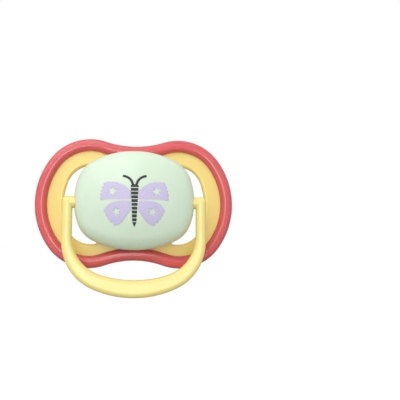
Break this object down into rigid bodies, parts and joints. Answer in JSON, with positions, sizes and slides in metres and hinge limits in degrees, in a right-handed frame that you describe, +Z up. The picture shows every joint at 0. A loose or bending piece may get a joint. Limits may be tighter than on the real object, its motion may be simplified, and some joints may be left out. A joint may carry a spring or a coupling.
{
  "type": "pacifier",
  "caption": "Baby pacifier with a butterfly-shaped two-tone mouth shield, hollow silicone teat, rounded front button and a hinged hanging ring.",
  "frame": {"origin": "on the teat's axis, at the rear (mouth side) face of the shield", "axes": "+X along the shield's long side, +Y along the teat towards its tip, +Z up with the ring hanging down; the button faces -Y"},
  "size_m": [0.055, 0.0407, 0.0442],
  "materials": {
    "yellow_plastic": "pale yellow moulded plastic, satin gloss",
    "coral_elastomer": "coral red overmoulded plastic, slightly translucent, glossy",
    "silicone": "clear silicone, frosted on the bulb",
    "clear_plastic": "natural translucent plastic",
    "mint_plastic": "pale mint plastic with a soft sheen, printed on the face",
    "ring_plastic": "pale yellow moulded plastic, satin gloss"
  },
  "bodies": {
    "pacifier_body": {"shield_frame": "yellow_plastic", "shield_rim": "coral_elastomer", "teat": "silicone", "teat_plug": "clear_plastic", "button_cover": "mint_plastic"},
    "ring": {"ring_handle": "ring_plastic"}
  },
  "joints": [
    {"name": "ring_hinge", "type": "hinge", "parent": "pacifier_body", "child": "ring", "pos_m": [0, -0.0066, -0.0005], "axis": [-1, 0, 0], "range_deg": [-8, 187]}
  ]
}
